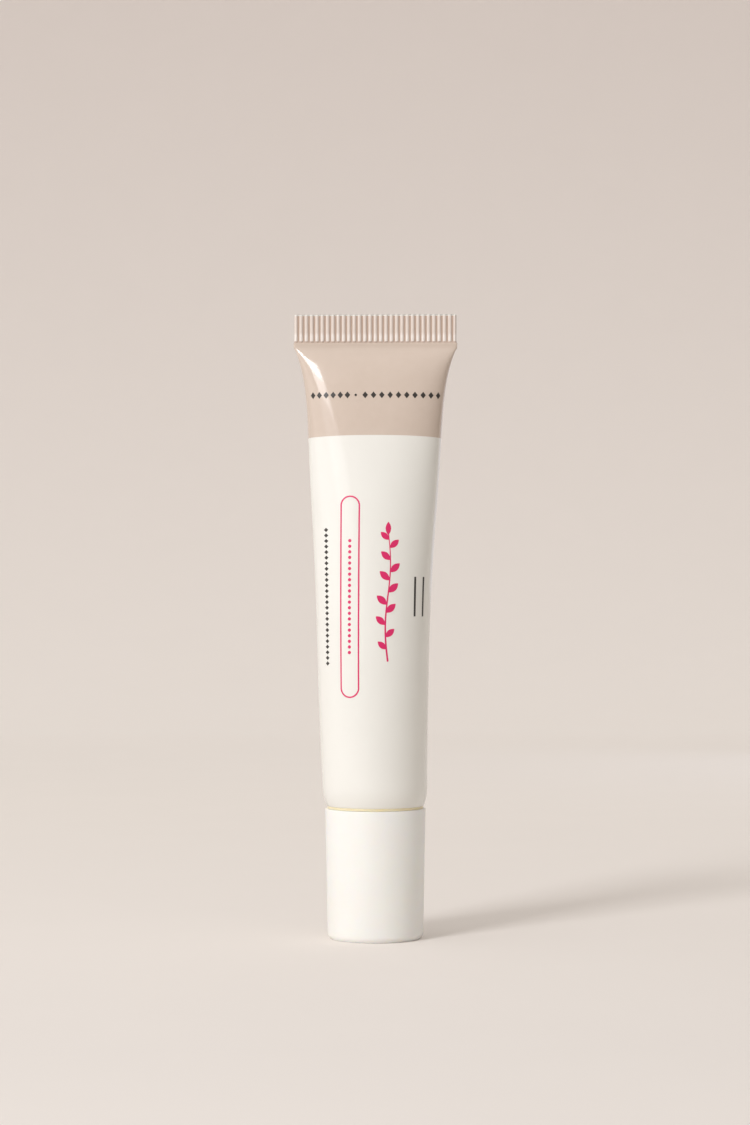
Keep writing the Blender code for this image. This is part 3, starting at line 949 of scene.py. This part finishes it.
def print_sprig(ink):
    """A leafy sprig, thicker towards its foot, with its largest leaves half way."""
    across, length, steps = 2.6, 23.2, 32
    sway, waves, thin = 0.45, 0.27, 0.16
    bm = bmesh.new()
    stem = []
    for i in range(steps + 1):
        z = PRINT_MIDDLE + length / 2 - length * i / steps
        stem.append((across + sway * math.sin((z - PRINT_MIDDLE) * waves), z))
    stroke_line(bm, stem, [thin + thin * i / steps for i in range(steps + 1)])
    leaves, spread = 11, 48.0
    half_leaf, half_width = 1.22, 0.62
    for i in range(leaves):
        x, z = stem[2 + int(i * 2.7)]
        side = 1 if i % 2 else -1
        grow = 0.8 + 0.2 * math.sin(math.pi * (i + 1) / (leaves + 1))
        lean = math.radians(90.0 - side * spread)
        reach = half_leaf * grow
        place = (x + reach * math.cos(lean), z + reach * math.sin(lean))
        flat_shape(bm, 24, reach, half_width * grow, place, lean, pointed=True)
    tip = (stem[0][0], stem[0][1] + 0.6)
    flat_shape(bm, 24, 1.2, 0.5, tip, math.radians(90), pointed=True)
    print_on(bm, "print_sprig", ink)


def print_side_row(ink):
    """A row of small lozenges near the left edge."""
    across, count, pitch = -9.23, 25, 1.0
    half_width, half_height = 0.5, 0.38
    bm = bmesh.new()
    for i in range(count):
        z = PRINT_MIDDLE + (i - (count - 1) / 2) * pitch
        flat_shape(bm, 4, half_width, half_height, (across, z))
    print_on(bm, "print_side_lozenges", ink)


def print_double_bar(ink):
    """Two upright bars near the right edge."""
    half_length, stroke = 3.55, 0.42
    bm = bmesh.new()
    for x in (8.0, 10.1):
        bar = [(x, PRINT_MIDDLE + half_length), (x, PRINT_MIDDLE - half_length)]
        stroke_line(bm, bar, [stroke, stroke])
    print_on(bm, "print_double_bar", ink)


def print_band_row(ink):
    """Two rows of lozenges across the taupe band, with a dot between them."""
    half_width, half_height, dot, dot_across = 0.5, 0.62, 0.22, -3.51
    beads = [-11.5 + 1.3 * i for i in range(6)] + [-1.8 + 1.5 * i for i in range(10)]
    bm = bmesh.new()
    for x in beads:
        flat_shape(bm, 4, half_width, half_height, (x, BAND_PRINT))
    flat_shape(bm, 16, dot, dot, (dot_across, BAND_PRINT))
    print_on(bm, "print_band_lozenges", ink, lift=2 * FILM)


def make_print():
    """Plain ornament on the sleeve and on its band, in two inks."""
    crimson, charcoal = crimson_ink(), charcoal_ink()
    print_pill(crimson)
    print_sprig(crimson)
    print_side_row(charcoal)
    print_double_bar(charcoal)
    print_band_row(charcoal)


def make_head():
    """Shoulder and threaded neck, whose edge shows golden between sleeve and cap."""
    bore, spigot, rim, ledge, root, neck_tip = 4.3, 8.15, 8.69, 7.3, 6.3, 5.15
    wall_foot = 15.1
    wall = steps_between(wall_foot, THREAD_WALL_TOP, THREAD_STEP)
    bm = turned(
        [
            (bore, SHOULDER_TOP),
            (spigot, SHOULDER_TOP),
            (spigot - 0.05, SLEEVE_FOOT + 0.07),
            (rim, SLEEVE_FOOT - 0.01, 0.04),
            (rim, CAP_RIM + 0.04, 0.05),
            (ledge, CAP_RIM + 0.04),
            (root, CAP_RIM + 0.02),
            (NECK_RADIUS + 0.15, INSERT_RIM),
            *[(NECK_RADIUS, z) for z in wall[::-1]],
            (neck_tip, NECK_END),
            (bore, NECK_END, 0.12),
        ],
        closed=True,
    )
    cut_thread(bm, NECK_RADIUS, NECK_CREST, low=16.2, high=21.8, shift=0.0)
    finish_piece(
        bm, "shoulder_and_neck", "tube", head_plastic(), ["tube_head"]
    )


def make_roller_housing():
    """Ball socket with a flange, and its plug, whose beads grip the neck's bore."""
    socket, plug, flange, bore, feed = 4.2, 3.85, 6.0, 3.05, 1.2
    collar, cup, lip, chamfer = 5.55, 5.4, 0.55, 0.4
    bead_half, bead_rise = 0.3, 0.15
    arc, arc_steps = [], 24
    start = math.acos(feed / socket)
    end = -math.asin((BALL_CENTRE - SOCKET_LIP) / socket)
    for i in range(arc_steps + 1):
        t = end + (start - end) * i / arc_steps
        arc.append((socket * math.cos(t), BALL_CENTRE + socket * math.sin(t)))
    mouth = arc[0][0]
    beads = []
    for z in (17.5, 15.9):
        beads += [(plug, z + bead_half), (plug + bead_rise, z, 0.1), (plug, z - bead_half)]
    bm = turned(
        [
            (bore, PLUG_TOP),
            (plug - chamfer, PLUG_TOP, 0.08),
            (plug, PLUG_TOP - chamfer, 0.15),
            *beads,
            (plug, FLANGE_TOP),
            (flange, FLANGE_TOP, 0.3),
            (flange, FLANGE_FOOT, 0.3),
            (collar, FLANGE_FOOT, 0.12),
            (cup, CUP_KNEE, 1.0),
            (mouth + lip, SOCKET_LIP, 0.12),
            *arc,
            (feed, FLANGE_FOOT),
            (bore, FLANGE_FOOT),
        ],
        closed=True,
    )
    finish_piece(
        bm,
        "roller_socket_and_plug",
        "tube",
        housing_plastic(),
        ["roller_housing"],
    )


def make_ball():
    """The steel ball, 8 mm across."""
    bm = bmesh.new()
    bmesh.ops.create_icosphere(bm, subdivisions=5, radius=4.0)
    bmesh.ops.translate(bm, vec=(0, 0, BALL_CENTRE), verts=bm.verts)
    finish_piece(
        bm, "steel_roller_ball", "ball", ball_steel(), ["roller_ball"]
    )


def make_oil():
    """The oil in plug, neck and sleeve, a little clear of their walls."""
    points, clearance, in_plug, in_neck = 96, 0.3, 2.7, 4.0
    plug_clear, neck_clear = PLUG_TOP + clearance, SHOULDER_TOP + clearance
    quarters = np.arange(points) / (points // 4)
    rings = []
    for radius, z in (
        (in_plug, OIL_FOOT),
        (in_plug, plug_clear),
        (in_neck, plug_clear),
        (in_neck, neck_clear),
    ):
        x, y = around(radius, radius, 2.0, quarters)
        rings.append(np.stack([x, y, np.full(points, z)], 1))
    for z in steps_between(neck_clear, OIL_TOP, 2.0):
        x, y = around(*sleeve_section(z, SLEEVE_WALL + clearance), quarters)
        rings.append(np.stack([x + sleeve_bow(z), y, np.full(points, z)], 1))
    bm = bmesh.new()
    for edges in skin(bm, rings):
        bmesh.ops.contextual_create(bm, geom=edges)
    finish_piece(bm, "oil", "tube", oil_liquid(), ["oil_fill"])


def make_stage():
    """One sheet of paper: floor, bend and wall."""
    profile = [(SWEEP_FRONT, 0.0), (SWEEP_BACK, 0.0)]
    for i in range(1, SWEEP_STEPS + 1):
        turn = math.radians(90.0 * i / SWEEP_STEPS)
        rise = SWEEP_BEND * (1 - math.cos(turn))
        profile.append((SWEEP_BACK + SWEEP_BEND * math.sin(turn), rise))
    profile.append((SWEEP_BACK + SWEEP_BEND, SWEEP_HEIGHT))
    bm = bmesh.new()
    verts = [bm.verts.new((x * SWEEP_HALF_WIDTH, *profile[0])) for x in (-1.0, 1.0)]
    edge = bm.edges.new(verts)
    along = bm.loops.layers.uv.new("along")
    for y, z in profile[1:]:
        grown = bmesh.ops.extrude_edge_only(bm, edges=[edge])["geom"]
        verts = [g for g in grown if isinstance(g, bmesh.types.BMVert)]
        for vert in verts:
            vert.co.y, vert.co.z = y, z
        edge = bm.edges.get(verts)
    bmesh.ops.recalc_face_normals(bm, faces=bm.faces)
    whole_run = SWEEP_BACK + SWEEP_BEND - SWEEP_FRONT + SWEEP_HEIGHT
    for face in bm.faces:
        for loop in face.loops:
            x, y, z = loop.vert.co
            run = (y - SWEEP_FRONT + z) / whole_run
            loop[along].uv = (x / (2 * SWEEP_HALF_WIDTH) + 0.5, run)
    bmesh.ops.scale(bm, vec=(MM, MM, MM), verts=bm.verts)
    mesh = bpy.data.meshes.new("sweep")
    bm.to_mesh(mesh)
    bm.free()
    mesh.materials.append(paper_uncoated())
    mesh.shade_smooth()
    sweep = bpy.data.objects.new("sweep", mesh)
    bpy.context.scene.collection.objects.link(sweep)


def make_fill():
    """Soft world light, brighter from above and from the left."""
    world = bpy.data.worlds.new("studio_fill")
    world.use_nodes = True
    tree = world.node_tree
    back = tree.nodes["Background"]
    back.inputs["Color"].default_value = colour("FFF9F3")
    sky = add_node(tree, "ShaderNodeTexCoord").outputs["Generated"]
    rise = {0: sky, 1: FILL_SLOPE}
    rise = add_node(tree, "ShaderNodeVectorMath", rise, operation="DOT_PRODUCT")
    level = {0: rise.outputs["Value"], 1: FILL_LEVEL}
    level = add_node(tree, "ShaderNodeMath", level, operation="ADD")
    tree.links.new(level.outputs["Value"], back.inputs["Strength"])
    bpy.context.scene.world = world


def add_softbox(name, azimuth, elevation, distance, width, height, power, code):
    """A rectangular soft light that faces the tube, its azimuth counted from the front."""
    light = bpy.data.lights.new(name, "AREA")
    light.shape = "RECTANGLE"
    light.size, light.size_y = width, height
    light.energy = power
    light.color = colour(code)[:3]
    lamp = bpy.data.objects.new(name, light)
    a, e = math.radians(azimuth), math.radians(elevation)
    out = Vector((math.sin(a) * math.cos(e), -math.cos(a) * math.cos(e), math.sin(e)))
    lamp.location = Vector((0, 0, LIGHT_AIM)) + out * distance
    lamp.rotation_euler = (-out).to_track_quat("-Z", "Y").to_euler()
    lamp.visible_camera = False
    bpy.context.scene.collection.objects.link(lamp)


def make_camera():
    """The photograph's view: level with the tube's middle, tilted up slightly."""
    data = bpy.data.cameras.new("camera")
    data.lens = CAMERA_LENS
    data.sensor_width = 36.0
    data.clip_start, data.clip_end = 0.01, 20.0
    camera = bpy.data.objects.new("camera", data)
    camera.location = CAMERA_PLACE
    camera.rotation_euler = (math.radians(90.0 + CAMERA_RISE), 0.0, 0.0)
    bpy.context.scene.collection.objects.link(camera)
    bpy.context.scene.camera = camera


make_cap_shell()
make_cap_insert()
make_cap_pad()
make_sleeve()
make_band()
make_print()
make_head()
make_roller_housing()
make_ball()
make_oil()
make_stage()
make_fill()
for softbox in SOFTBOXES:
    add_softbox(*softbox)
make_camera()
bpy.context.scene.view_settings.view_transform = "Standard"
